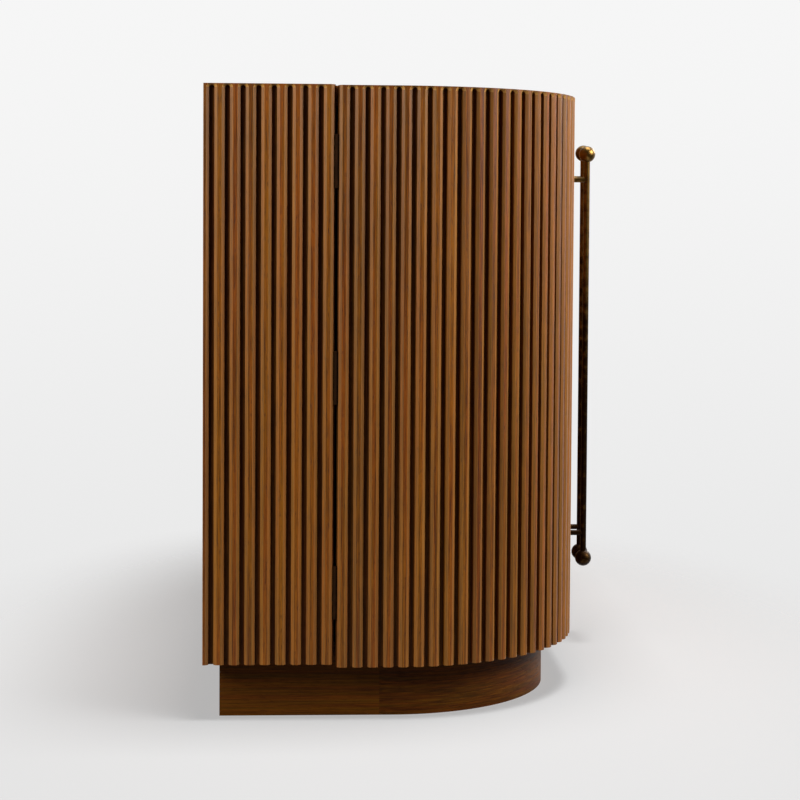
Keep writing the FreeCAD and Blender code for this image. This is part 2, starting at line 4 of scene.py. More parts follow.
import bmesh
import bpy
from mathutils import Matrix, Quaternion, Vector


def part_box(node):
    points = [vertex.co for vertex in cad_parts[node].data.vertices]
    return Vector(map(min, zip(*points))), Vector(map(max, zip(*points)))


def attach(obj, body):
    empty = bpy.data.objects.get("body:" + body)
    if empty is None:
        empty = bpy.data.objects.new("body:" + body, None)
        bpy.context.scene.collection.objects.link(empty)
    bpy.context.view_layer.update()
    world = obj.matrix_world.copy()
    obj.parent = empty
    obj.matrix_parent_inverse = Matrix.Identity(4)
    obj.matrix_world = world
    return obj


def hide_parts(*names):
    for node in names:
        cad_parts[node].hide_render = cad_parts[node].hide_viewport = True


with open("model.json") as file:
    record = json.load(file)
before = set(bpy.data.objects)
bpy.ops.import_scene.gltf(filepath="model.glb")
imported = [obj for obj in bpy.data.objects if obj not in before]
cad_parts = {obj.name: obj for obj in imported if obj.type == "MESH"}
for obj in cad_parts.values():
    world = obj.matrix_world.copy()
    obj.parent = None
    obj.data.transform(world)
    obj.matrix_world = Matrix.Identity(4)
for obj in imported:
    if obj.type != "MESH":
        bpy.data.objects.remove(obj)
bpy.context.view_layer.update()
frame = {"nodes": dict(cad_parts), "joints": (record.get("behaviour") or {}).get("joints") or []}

# Plinth: oak-veneered rails on edge, standing back under the case, with a bent piece at each front corner.
# Stained a shade darker than the slats, satin lacquered; rails and corners butt together and are glued.
PLINTH_SEAM_RUN = 0.015
BOARD_ARRIS = 0.0008
ARRIS_WEAR = 0.5
ARC_TOLERANCE = 0.00002
SHARP_EDGE = math.radians(40)
SMOOTH_EDGE = math.radians(18)


class Channel:
    """One output of a material's nodes; arithmetic on channels adds Math nodes."""

    def __init__(self, tree, socket=None):
        self.tree = tree
        self.socket = socket

    def add(self, kind, settings=None, sockets=None, output=0):
        node = self.tree.nodes.new(kind)
        for name, value in (settings or {}).items():
            setattr(node, name, value)
        for name, value in (sockets or {}).items():
            if isinstance(value, Channel):
                self.tree.links.new(value.socket, node.inputs[name])
            else:
                node.inputs[name].default_value = value
        return Channel(self.tree, node.outputs[output] if node.outputs else None)

    def math(self, operation, first, second=0.0):
        return self.add("ShaderNodeMath", {"operation": operation}, {0: first, 1: second})

    def __add__(self, other):
        return self.math("ADD", self, other)

    def __radd__(self, other):
        return self.math("ADD", other, self)

    def __sub__(self, other):
        return self.math("SUBTRACT", self, other)

    def __rsub__(self, other):
        return self.math("SUBTRACT", other, self)

    def __mul__(self, other):
        return self.math("MULTIPLY", self, other)

    def __rmul__(self, other):
        return self.math("MULTIPLY", other, self)

    def __truediv__(self, other):
        return self.math("DIVIDE", self, other)

    def __rtruediv__(self, other):
        return self.math("DIVIDE", other, self)

    def __abs__(self):
        return self.math("ABSOLUTE", self)

    def above(self, floor):
        return self.math("MAXIMUM", self, floor)

    def fade(self, low, high):
        return self.add("ShaderNodeMapRange", {"interpolation_type": "SMOOTHSTEP"},
                        {"Value": self, "From Min": low, "From Max": high})

    def blend(self, first, second):
        return self.add("ShaderNodeMix", {"data_type": "RGBA"}, {0: self, 6: first, 7: second}, 2)

    def parts(self):
        split = self.add("ShaderNodeSeparateXYZ", sockets={0: self})
        return [Channel(self.tree, output) for output in split.socket.node.outputs]


def srgb(red, green, blue):
    linear = [((level / 255 + 0.055) / 1.055) ** 2.4 for level in (red, green, blue)]
    return (*linear, 1.0)


def new_material(name):
    material = bpy.data.materials.new(name)
    material.use_nodes = True
    material.node_tree.nodes.clear()
    return material, Channel(material.node_tree)


def finish_material(start, surface):
    start.add("ShaderNodeOutputMaterial", sockets={"Surface": surface})


PORE_BROWN = srgb(40, 16, 4)
# Pale oak: real wear on board arrises, painted highlight on slat bevels, painted light on flute-stop ends.
WEAR_AND_HIGHLIGHT_OAK = srgb(168, 121, 58)
# Painted shade: the dark brown that flute floors and the lower flute walls are painted towards.
PAINTED_FLUTE_SHADE = srgb(38, 16, 3)
RED_TINT = (1.05, 0.88, 0.9, 1.0)
OLIVE_TINT = (0.99, 1.12, 0.86, 1.0)
CORNER_RADIUS = 0.240
HALF_LENGTH = -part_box("left_end_slats")[0].x
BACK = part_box("left_end_slats")[1].y
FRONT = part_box("left_flat_door_slats")[0].y
SLAT_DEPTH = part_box("left_end_slats")[1].x + HALF_LENGTH
CORNER_X = HALF_LENGTH - CORNER_RADIUS
CORNER_Y = FRONT + CORNER_RADIUS
FLUTE_FLOOR = CORNER_RADIUS - SLAT_DEPTH
# How far up the flute walls the painted shade reaches, and how far before the flute floor it starts and is
# full.
FLUTE_SHADE_RISE = SLAT_DEPTH * 0.6
FLUTE_SHADE_ONSET = 0.0012
FLUTE_SHADE_FULL = 0.0008


def grain_upright(x, y, z):
    return z, x, y


def grain_lengthwise(x, y, z):
    return x, y, z


def grain_front_to_back(x, y, z):
    return y, x, z


def grain_round_corner(x, y, z):
    side = abs(x) - CORNER_X
    ahead = CORNER_Y - y
    turn = side.math("ARCTAN2", ahead, side)
    reach = side.math("SQRT", side * side + ahead * ahead)
    return turn * CORNER_RADIUS, z, reach


def stained_oak(name, dark, light, grain, contrast=1.0, gloss=0.18, flute_shade_strength=0.0):
    """Open-grained oak under brown stain; the last argument paints shade onto what lies deep in the flutes.
    """
    material, start = new_material(name)
    x, y, z = start.add("ShaderNodeTexCoord", output="Object").parts()
    along, across, deep = grain(x, y, z)
    tone = start.add("ShaderNodeAttribute", {"attribute_name": "tone"}, output="Fac")
    arris = start.add("ShaderNodeAttribute", {"attribute_name": "arris"}, output="Fac")

    def fibre(width, length, detail=2.0):
        spot = start.add("ShaderNodeCombineXYZ", sockets={
            "X": across / width, "Y": deep / width + tone * 40.0, "Z": along / length})
        return start.add("ShaderNodeTexNoise", sockets={
            "Vector": spot, "Scale": 1.0, "Detail": detail, "Roughness": 0.55}) - 0.5

    figure = fibre(width=0.03, length=0.9)
    streak = fibre(width=0.0022, length=0.16, detail=3.0)
    thread = fibre(width=0.001, length=0.04)
    pore = fibre(width=0.0008, length=0.011).fade(0.09, 0.16)
    level = (figure * 0.8 + streak * 1.7 + thread * 1.7 + (tone - 0.5) * 0.25) * contrast + 0.5
    colour = level.fade(0.0, 1.0).blend(dark, light)
    hue = (fibre(width=0.005, length=0.3) + (tone - 0.5) * 0.06).fade(-0.18, 0.18)
    tint = hue.blend(RED_TINT, OLIVE_TINT)
    colour = start.add("ShaderNodeMix", {"data_type": "RGBA", "blend_type": "MULTIPLY"},
                       {0: 1.0, 6: colour, 7: tint}, 2)
    colour = (pore * 0.55 * contrast).blend(colour, PORE_BROWN)
    # Marked faces go towards pale oak: worn board arrises, painted highlight on bevels, painted light on
    # stop ends.
    colour = arris.blend(colour, WEAR_AND_HIGHLIGHT_OAK)
    side = (abs(x) - CORNER_X).above(0.0)
    ahead = (CORNER_Y - y).above(0.0)
    reach = side.math("SQRT", side * side + ahead * ahead)
    # Painted shade in the flutes: full on the flute floor, fading out up the walls.
    rise = (reach - FLUTE_FLOOR).fade(0.0, FLUTE_SHADE_RISE)
    in_flute = reach.fade(FLUTE_FLOOR - FLUTE_SHADE_ONSET, FLUTE_FLOOR - FLUTE_SHADE_FULL)
    colour = ((1.0 - rise) * in_flute * flute_shade_strength).blend(colour, PAINTED_FLUTE_SHADE)
    height = streak * 0.3 + thread * 0.5 - pore * 0.6
    bump = start.add("ShaderNodeBump", sockets={"Strength": 0.35, "Distance": 0.0004, "Height": height})
    finish_material(start, start.add("ShaderNodeBsdfPrincipled", sockets={
        "Base Color": colour, "Roughness": streak * 0.25 + pore * 0.2 + 0.44,
        "Specular IOR Level": gloss, "Normal": bump}))
    return material


def filleted(corners):
    """Plan outline from (x, y, radius) corners, anticlockwise; small arcs are flagged as worn arrises."""
    outline = []
    for index, (x, y, radius) in enumerate(corners):
        here = Vector((x, y))
        if radius == 0:
            outline.append((x, y, False))
            continue
        before = (Vector(corners[index - 1][:2]) - here).normalized()
        after = (Vector(corners[(index + 1) % len(corners)][:2]) - here).normalized()
        opening = before.angle(after)
        centre = here + (before + after).normalized() * (radius / math.sin(opening / 2))
        arm = here + before * (radius / math.tan(opening / 2)) - centre
        sweep = math.copysign(math.pi - opening, after.cross(before))
        steps = max(2, math.ceil(abs(sweep) / (2 * math.acos(1 - ARC_TOLERANCE / radius))))
        for step in range(steps + 1):
            spot = centre + Matrix.Rotation(sweep * step / steps, 2) @ arm
            outline.append((spot.x, spot.y, radius < SLAT_DEPTH and step < steps))
    return outline


def extruded(name, outline, low, high, arris):
    """Upright solid over a plan outline, its sharp edges rounded by the arris and marked as worn."""
    form = bmesh.new()
    paint_mark = form.faces.layers.float.new("arris")
    lower = [form.verts.new((x, y, low)) for x, y, _ in outline]
    upper = [form.verts.new((x, y, high)) for x, y, _ in outline]
    form.faces.new(reversed(lower))
    form.faces.new(upper)
    for index, (_, _, is_marked) in enumerate(outline):
        after = (index + 1) % len(outline)
        side = form.faces.new((lower[index], lower[after], upper[after], upper[index]))
        side[paint_mark] = is_marked * ARRIS_WEAR
    if arris:
        sharp = [edge for edge in form.edges if edge.calc_face_angle() > SHARP_EDGE]
        rounded = bmesh.ops.bevel(form, geom=sharp, offset=arris, segments=2, profile=0.5, affect="EDGES")
        for face in rounded["faces"]:
            face[paint_mark] = ARRIS_WEAR
    return finished_object(name, form)


def finished_object(name, form):
    bmesh.ops.recalc_face_normals(form, faces=form.faces)
    mesh = bpy.data.meshes.new(name)
    form.to_mesh(mesh)
    form.free()
    mesh.shade_smooth()
    mesh.set_sharp_from_angle(angle=SMOOTH_EDGE)
    piece = bpy.data.objects.new(name, mesh)
    bpy.context.scene.collection.objects.link(piece)
    return piece


def dressed(piece, body, material, slot, *nodes):
    piece.data.materials.clear()
    piece.data.materials.append(material)
    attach(piece, body)
    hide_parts(*nodes)
    return piece


def rectangle(node):
    low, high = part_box(node)
    return [(low.x, low.y, 0), (high.x, low.y, 0), (high.x, high.y, 0), (low.x, high.y, 0)]


def oak_board(node, body, material, slot, corners=None, tone=0.5):
    low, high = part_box(node)
    outline = filleted(corners or rectangle(node))
    piece = extruded(f"{node}_oak", outline, low.z, high.z, BOARD_ARRIS)
    own_tone = piece.data.attributes.new("tone", "FLOAT", "FACE")
    own_tone.data.foreach_set("value", [tone] * len(piece.data.polygons))
    return dressed(piece, body, material, slot, node)


def bent_strip(node, thickness, seam_run):
    """Corners of a strip bent round a front corner, on the side of its node."""
    low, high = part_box(node)
    left = low.x < 0
    radius = high.y - low.y - seam_run
    inner = max(radius - thickness, 0)
    if left:
        return [(low.x, high.y, 0), (low.x, low.y, radius), (high.x, low.y, 0),
                (high.x, low.y + thickness, 0), (low.x + thickness, low.y + thickness, inner),
                (low.x + thickness, high.y, 0)]
    return [(high.x, high.y, 0), (high.x - thickness, high.y, 0),
            (high.x - thickness, low.y + thickness, inner), (low.x, low.y + thickness, 0),
            (low.x, low.y, 0), (high.x, low.y, radius)]


def repaint(node, material):
    slots = frame["nodes"][node].data.materials
    slots.clear()
    slots.append(material)


PLINTH_DARK = srgb(56, 29, 5)
PLINTH_LIGHT = srgb(100, 57, 13)
PLINTH_CONTRAST = 0.7
PLINTH_GLOSS = 0.06
PLINTH_CORNER_TONE = 0.0
plinth_oak_long, plinth_oak_side, plinth_oak_bent = [
    stained_oak(f"plinth_oak_{way}", PLINTH_DARK, PLINTH_LIGHT, grain, PLINTH_CONTRAST, PLINTH_GLOSS)
    for way, grain in (("long", grain_lengthwise), ("side", grain_front_to_back),
                       ("bent", grain_round_corner))]
plinth_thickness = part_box("plinth_left_side")[1].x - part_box("plinth_left_side")[0].x
for node in ("plinth_front_rail", "plinth_back_rail"):
    oak_board(node, "case", plinth_oak_long, "stained_oak_plinth")
for side in ("left", "right"):
    oak_board(f"plinth_{side}_side", "case", plinth_oak_side, "stained_oak_plinth")
    node = f"plinth_{side}_corner"
    oak_board(node, "case", plinth_oak_bent, "stained_oak_plinth",
              bent_strip(node, plinth_thickness, PLINTH_SEAM_RUN), PLINTH_CORNER_TONE)
repaint("plinth_cross_rails", plinth_oak_side)

# Case boards: veneered top and bottom with rounded front corners, two fixed end panels, a centre partition
# behind a stile, two thin back panels and two loose shelves. Glued and dowelled; shelves lie on pins.
BOARD_DARK = srgb(84, 45, 13)
BOARD_LIGHT = srgb(138, 84, 30)
INTERIOR_DARK = srgb(100, 60, 26)
INTERIOR_LIGHT = srgb(158, 106, 58)
# Strength of the painted shade deep in the flutes.
PAINTED_SHADE_STRENGTH = 0.45
FLUTE_GLOSS = 0.08
case_oak_long = stained_oak("case_oak_long", BOARD_DARK, BOARD_LIGHT, grain_lengthwise)
case_oak_upright = stained_oak("case_oak_upright", BOARD_DARK, BOARD_LIGHT, grain_upright,
                               gloss=FLUTE_GLOSS, flute_shade_strength=PAINTED_SHADE_STRENGTH)
inner_oak_long = stained_oak("inner_oak_long", INTERIOR_DARK, INTERIOR_LIGHT, grain_lengthwise)
inner_oak_upright = stained_oak("inner_oak_upright", INTERIOR_DARK, INTERIOR_LIGHT, grain_upright)

for node in ("top_panel", "bottom_panel"):
    low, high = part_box(node)
    radius = CORNER_RADIUS - (HALF_LENGTH - high.x)
    oak_board(node, "case", case_oak_long, "stained_oak_boards",
              [(low.x, low.y, radius), (high.x, low.y, radius), (high.x, high.y, 0), (low.x, high.y, 0)])
oak_board("centre_stile", "case", case_oak_upright, "stained_oak_boards")
repaint("centre_partition", inner_oak_upright)
for side in ("left", "right"):
    repaint(f"{side}_end_panel", case_oak_upright)
    oak_board(f"{side}_back_panel", "case", inner_oak_long, "oak_interior")
    low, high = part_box(f"{side}_shelf")
    radius = CORNER_RADIUS - (HALF_LENGTH - max(abs(low.x), high.x))
    left_radius = radius if side == "left" else 0
    right_radius = radius - left_radius
    oak_board(f"{side}_shelf", "case", inner_oak_long, "oak_interior",
              [(low.x, low.y, left_radius), (high.x, low.y, right_radius), (high.x, high.y, 0),
               (low.x, high.y, 0)])

# Slats: narrow oak battens, bevelled in front and steep-sided below, glued on the boards with a flute
# between them. Each is cut from its own piece of oak, so its tone differs from its neighbours'; a small
# oak stop glued into the top of each flute closes it with a rounded end.
SLAT_PITCH = 0.0187
SLAT_FACE = 0.0054
SLAT_ROOT = 0.0131
SLAT_ARRIS = 0.0006
BEVEL_DEPTH = 0.0024
BEVEL_FOOT = 0.0121
# How far the slat bevels are painted towards pale oak, as painted highlight.
BEVEL_PAINTED_HIGHLIGHT = 0.5
LIPPING_WIDTH = 0.0100
STOP_DROP = 0.0018
STOP_LIP = 0.0003
STOP_STEPS = 10
# The face of each flute stop that is painted pale oak, as painted light on an end that lies in shade.
STOP_PAINTED_LIGHT_FACE = 3
SLAT_SEED = 11
SLAT_DARK = srgb(80, 40, 3)
SLAT_LIGHT = srgb(137, 76, 9)
SLAT_GLOSS = 0.25
slat_oak = stained_oak("slat_oak", SLAT_DARK, SLAT_LIGHT, grain_upright, gloss=SLAT_GLOSS,
                       flute_shade_strength=PAINTED_SHADE_STRENGTH)


def row_tree():
    """Places copies of a piece along a line or round a centre, each with a random tone."""
    tree = bpy.data.node_groups.new("pieces_in_a_row", "GeometryNodeTree")
    tree.interface.new_socket("Geometry", in_out="OUTPUT", socket_type="NodeSocketGeometry")
    names = {}
    for name, kind in (("Geometry", "Geometry"), ("Piece", "Object"), ("Count", "Int"), ("Start", "Vector"),
                       ("Step", "Vector"), ("Centre", "Vector"), ("First Turn", "Float"),
                       ("Turn Step", "Float"), ("Seed", "Int"), ("Material", "Material")):
        socket = tree.interface.new_socket(name, in_out="INPUT", socket_type=f"NodeSocket{kind}")
        names[name] = socket.identifier
    begin = Channel(tree)
    given = {output.name: Channel(tree, output) for output in tree.nodes.new("NodeGroupInput").outputs
             if output.name}
    index = begin.add("GeometryNodeInputIndex")
    offset = begin.add("ShaderNodeVectorMath", {"operation": "SCALE"}, {0: given["Step"], "Scale": index})
    spot = begin.add("ShaderNodeVectorMath", {"operation": "ADD"}, {0: given["Start"], 1: offset})
    swing = given["Turn Step"] * index
    spot = begin.add("ShaderNodeVectorRotate", {"rotation_type": "Z_AXIS"},
                     {"Vector": spot, "Center": given["Centre"], "Angle": swing})
    points = begin.add("GeometryNodePoints", sockets={"Count": given["Count"], "Position": spot})
    facing = begin.add("ShaderNodeCombineXYZ", sockets={"Z": swing + given["First Turn"]})
    turn = begin.add("FunctionNodeEulerToRotation", sockets={0: facing})
    piece = begin.add("GeometryNodeObjectInfo", sockets={"Object": given["Piece"]}, output="Geometry")
    copies = begin.add("GeometryNodeInstanceOnPoints",
                       sockets={"Points": points, "Instance": piece, "Rotation": turn})
    tone = begin.add("FunctionNodeRandomValue", {"data_type": "FLOAT"}, {"Seed": given["Seed"]}, 1)
    copies = begin.add("GeometryNodeStoreNamedAttribute", {"data_type": "FLOAT", "domain": "INSTANCE"},
                       {"Geometry": copies, "Name": "tone", "Value": tone})
    joined = begin.add("GeometryNodeJoinGeometry", sockets={0: given["Geometry"]})
    tree.links.new(copies.socket, joined.socket.node.inputs[0])
    solid = begin.add("GeometryNodeRealizeInstances", sockets={"Geometry": joined})
    coated = begin.add("GeometryNodeSetMaterial",
                       sockets={"Geometry": solid, "Material": given["Material"]})
    begin.add("NodeGroupOutput", sockets={"Geometry": coated})
    return tree, names


pieces_in_a_row, row_inputs = row_tree()


def in_rows(name, runs, material):
    """One plain mesh of every run; a run is a dict of the tree's inputs."""
    holder = bpy.data.objects.new(name, bpy.data.meshes.new(name))
    bpy.context.scene.collection.objects.link(holder)
    for number, run in enumerate(runs):
        modifier = holder.modifiers.new(f"run_{number}", "NODES")
        modifier.node_group = pieces_in_a_row
        settings = {"Step": (0, 0, 0), "Centre": (0, 0, 0), "First Turn": 0.0, "Turn Step": 0.0, **run}
        settings["Material"] = material
        for label, value in settings.items():
            modifier[row_inputs[label]] = value
    graph = bpy.context.evaluated_depsgraph_get()
    mesh = bpy.data.meshes.new_from_object(holder.evaluated_get(graph))
    holder.modifiers.clear()
    holder.data = mesh
    mesh.name = name
    return holder


def slat_shape(name, node, corners):
    """Upright slat over the height of a node; its bevels are marked for a painted highlight."""
    low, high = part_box(node)
    outline = filleted(corners)
    for index, (x, y, _) in enumerate(outline):
        next_x, next_y, _ = outline[(index + 1) % len(outline)]
        if min(abs(next_x - x), abs(next_y - y)) > BEVEL_DEPTH / 2:
            outline[index] = (x, y, BEVEL_PAINTED_HIGHLIGHT)
    return extruded(name, outline, low.z, high.z, 0)


def slat_blank(name, node):
    """One slat with its face towards -X and its root on the board."""
    return slat_shape(name, node, [(0, SLAT_FACE / 2, SLAT_ARRIS), (0, -SLAT_FACE / 2, SLAT_ARRIS),
                                   (BEVEL_DEPTH, -BEVEL_FOOT / 2, 0), (SLAT_DEPTH, -SLAT_ROOT / 2, 0),
                                   (SLAT_DEPTH, SLAT_ROOT / 2, 0), (BEVEL_DEPTH, BEVEL_FOOT / 2, 0)])


def stop_blank(name, node):
    """Half-round end of one flute, level with the tops of a node's slats, seen from -X."""
    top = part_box(node)[1].z
    face_reach = (SLAT_PITCH - SLAT_FACE) / 2
    foot_reach = (SLAT_PITCH - BEVEL_FOOT) / 2
    root_reach = (SLAT_PITCH - SLAT_ROOT) / 2
    centre = top - STOP_DROP - foot_reach
    form = bmesh.new()
    paint_mark = form.faces.layers.float.new("arris")
    columns = []
    for step in range(STOP_STEPS + 1):
        turn = math.pi * (step / STOP_STEPS - 0.5)
        across, up = math.sin(turn), math.cos(turn)
        face_z = min(centre + face_reach * up, top - STOP_LIP)
        spots = ((0, face_reach * across, top),
                 (SLAT_DEPTH, root_reach * across, top),
                 (SLAT_DEPTH, root_reach * across, centre + root_reach * up),
                 (BEVEL_DEPTH, foot_reach * across, centre + foot_reach * up),
                 (0, face_reach * across, face_z))
        columns.append([form.verts.new(spot) for spot in spots])
    for left, right in zip(columns, columns[1:]):
        for index in range(len(left)):
            after = (index + 1) % len(left)
            face = form.faces.new((left[index], right[index], right[after], left[after]))
            # The stop's end surface is painted pale oak, as painted light where it lies in shade.
            face[paint_mark] = float(index == STOP_PAINTED_LIGHT_FACE)
    form.faces.new(columns[0])
    form.faces.new(reversed(columns[-1]))
    return finished_object(name, form)


def stops_after(run, blank, count):
    """Flute stops beyond the first slats of a run, half a step on from each."""
    half_turn = run.get("Turn Step", 0.0) / 2
    centre = Vector(run.get("Centre", (0, 0, 0)))
    arm = Vector(run["Start"]) + Vector(run.get("Step", (0, 0, 0))) / 2 - centre
    arm.rotate(Quaternion((0, 0, 1), half_turn))
    return {**run, "Piece": blank, "Count": count, "Start": tuple(centre + arm),
            "First Turn": run["First Turn"] + half_turn}


def straight_run(blank, start, end, turn, seed):
    """Slats evenly spaced between two plan points."""
    path = Vector(end) - Vector(start)
    count = max(1, round(path.length / SLAT_PITCH))
    step = path / count
    first = Vector(start) + step / 2
    return {"Piece": blank, "Count": count, "Start": (first.x, first.y, 0), "Step": (step.x, step.y, 0),
            "First Turn": turn, "Seed": seed}


def corner_run(blank, sign, seed):
    """Slats round a front corner from the end to the front."""
    count = round(math.pi / 2 * CORNER_RADIUS / SLAT_PITCH)
    swing = -sign * math.pi / 2 / count
    facing = 0.0 if sign < 0 else math.pi
    arm = Vector((sign * CORNER_RADIUS, 0, 0))
    arm.rotate(Quaternion((0, 0, 1), swing / 2))
    centre = Vector((sign * CORNER_X, CORNER_Y, 0))
    return {"Piece": blank, "Count": count, "Start": tuple(centre + arm), "Centre": tuple(centre),
            "First Turn": facing + swing / 2, "Turn Step": swing, "Seed": seed}


HINGE_Y = frame["joints"][0]["pos_m"][1]
STILE_HALF = abs(frame["joints"][1]["pos_m"][0])
FACE_FRONT = math.pi / 2
case_slat = slat_blank("case_slat_blank", "left_end_slats")
case_stop = stop_blank("case_stop_blank", "left_end_slats")
for side, sign in (("left", -1), ("right", 1)):
    face_end = 0.0 if sign < 0 else math.pi
    end_x = sign * HALF_LENGTH
    lipping_edge = BACK - LIPPING_WIDTH
    run = straight_run(case_slat, (end_x, HINGE_Y), (end_x, lipping_edge), face_end, SLAT_SEED + sign)
    stops = stops_after(run, case_stop, run["Count"])
    dressed(in_rows(f"{side}_end_oak_slats", [run, stops], slat_oak), "case", slat_oak, "stained_oak_slats",
            f"{side}_end_slats")
    flute_edge = lipping_edge + (run["Step"][1] - SLAT_ROOT) / 2
    bevel = (SLAT_ROOT - SLAT_FACE) / 2
    root_x = end_x - sign * SLAT_DEPTH
    lipping = [(root_x, flute_edge, 0), (root_x, BACK, 0), (end_x, BACK, SLAT_ARRIS),
               (end_x, flute_edge + bevel, SLAT_ARRIS),
               (end_x - sign * BEVEL_DEPTH, flute_edge + (SLAT_ROOT - BEVEL_FOOT) / 2, 0)]
    if sign < 0:
        lipping.reverse()
    piece = slat_shape(f"{side}_back_lipping", f"{side}_end_slats", lipping)
    dressed(piece, "case", slat_oak, "stained_oak_slats")
run = straight_run(case_slat, (-STILE_HALF, FRONT), (STILE_HALF, FRONT), FACE_FRONT, SLAT_SEED + 5)
stops = stops_after(run, case_stop, run["Count"] - 1)
dressed(in_rows("centre_stile_oak_slats", [run, stops], slat_oak), "case", slat_oak, "stained_oak_slats",
        "centre_stile_slats")
bpy.data.objects.remove(case_slat)
bpy.data.objects.remove(case_stop)

# Doors: two bent ones that wrap the front corners and two flat ones beside the centre stile.
# Each is a pressed board with slats glued over its face, hung on three butt hinges in a flute.
MEETING_X = (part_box("left_curved_door_slats")[1].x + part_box("left_flat_door_slats")[0].x) / 2
door_slat = slat_blank("door_slat_blank", "left_flat_door_slats")
door_stop = stop_blank("door_stop_blank", "left_flat_door_slats")
for side, sign in (("left", -1), ("right", 1)):
    door = f"{side}_curved_door"
    meeting = -sign * MEETING_X
    end_x = sign * HALF_LENGTH
    seed = SLAT_SEED + 20 * (2 + sign)
    face_end = 0.0 if sign < 0 else math.pi
    runs = [straight_run(door_slat, (end_x, HINGE_Y), (end_x, CORNER_Y), face_end, seed),
            corner_run(door_slat, sign, seed + 1),
            straight_run(door_slat, (sign * CORNER_X, FRONT), (meeting, FRONT), FACE_FRONT, seed + 2)]
    runs += [stops_after(run, door_stop, run["Count"] - (run is runs[-1])) for run in runs]
    dressed(in_rows(f"{door}_oak_slats", runs, slat_oak), door, slat_oak, "stained_oak_slats",
            f"{door}_slats")
    node = f"{door}_core"
    low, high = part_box(node)
    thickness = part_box("left_flat_door_core")[1].y - low.y
    oak_board(node, door, case_oak_upright, "stained_oak_boards",
              bent_strip(node, thickness, high.y - CORNER_Y))

    door = f"{side}_flat_door"
    run = straight_run(door_slat, (meeting, FRONT), (sign * STILE_HALF, FRONT), FACE_FRONT, seed + 3)
    stops = stops_after(run, door_stop, run["Count"] - 1)
    dressed(in_rows(f"{door}_oak_slats", [run, stops], slat_oak), door, slat_oak, "stained_oak_slats",
            f"{door}_slats")
    oak_board(f"{door}_core", door, case_oak_upright, "stained_oak_boards")
bpy.data.objects.remove(door_slat)
bpy.data.objects.remove(door_stop)

# Hinges: three bronze butt hinges to a door, their leaves let in flat on the board edges inside a flute.
# Lacquered dark brown, so that the knuckles hardly show there; three countersunk screws hold each leaf.
HINGE_HEIGHT = 0.064
LEAF_SCREW_SPACING = 0.022
LEAF_SCREW_INSET = 0.0114
LEAF_FACE = 0.0002
SCREW_RADIUS = 0.003
SCREW_SIDES = 16
SCREW_RISE = 0.00008
SCREW_SINK = 0.0004
RECESS_WALL = 2
# Near-black painted shade for the screws' cross recesses.
RECESS_PAINTED_SHADE = srgb(10, 7, 5)


def mottled(name, bright, dull, dullness, metallic, roughness, lit_heights=None, gloss=0.5):
    """Metal or moulded plastic with a mottled skin; recesses get painted shade, a height range painted
    light.
    """
    material, start = new_material(name)
    spot = start.add("ShaderNodeTexCoord", output="Object")
    recess = start.add("ShaderNodeAttribute", {"attribute_name": "arris"}, output="Fac")
    mottle = start.add("ShaderNodeTexNoise", sockets={"Vector": spot, "Scale": 90.0, "Detail": 4.0})
    speck = start.add("ShaderNodeTexNoise", sockets={"Vector": spot, "Scale": 900.0, "Detail": 2.0})
    skin = mottle + speck * 0.4 + (dullness - 0.7)
    # Painted light and shade: the metal is painted brighter going up through the given heights, darker
    # below.
    if lit_heights:
        skin = skin - spot.parts()[2].fade(*lit_heights) * 0.35
    skin = skin.fade(0.25, 0.75)
    # Marked faces go near-black as painted shade in screw recesses; the pole strips' rounded edges go half
    # way.
    colour = recess.blend(skin.blend(bright, dull), RECESS_PAINTED_SHADE)
    bump = start.add("ShaderNodeBump", sockets={"Strength": 0.2, "Distance": 0.0002, "Height": speck})
    finish_material(start, start.add("ShaderNodeBsdfPrincipled", sockets={
        "Base Color": colour, "Metallic": metallic, "Roughness": skin * 0.14 + roughness,
        "Specular IOR Level": gloss, "Normal": bump}))
    return material


def screw_blank(name, facing):
    """A flat screw head with a cross recess, its top towards -Z of the facing matrix."""
    form = bmesh.new()
    paint_mark = form.faces.layers.float.new("arris")
    cross = (0.55, 0.4, 0.2, 0.4)
    levels = ((SCREW_SINK, False), (-SCREW_RISE, False), (-SCREW_RISE, True), (-SCREW_RISE / 8, True))
    rings = []
    for height, is_cross in levels:
        ring = []
        for step in range(SCREW_SIDES):
            turn = 2 * math.pi * step / SCREW_SIDES
            radius = SCREW_RADIUS * (cross[step % 4] if is_cross else 1.0)
            spot = Vector((radius * math.cos(turn), radius * math.sin(turn), height))
            ring.append(form.verts.new(facing @ spot))
        rings.append(ring)
    for number, (lower, upper) in enumerate(zip(rings, rings[1:])):
        for step in range(SCREW_SIDES):
            after = (step + 1) % SCREW_SIDES
            face = form.faces.new((lower[step], lower[after], upper[after], upper[step]))
            # The recess walls and floor are marked for painted shade.
            face[paint_mark] = float(number == RECESS_WALL)
    form.faces.new(rings[-1])[paint_mark] = 1.0
    form.faces.new(reversed(rings[0]))
    return finished_object(name, form)


def screw_run(blank, start, step, count, facing):
    """Screws in a line from a start point, all facing along a plan direction."""
    turn = math.atan2(facing.y, facing.x) - math.pi
    return {"Piece": blank, "Count": count, "Start": tuple(start), "Step": tuple(step), "First Turn": turn,
            "Seed": SLAT_SEED}


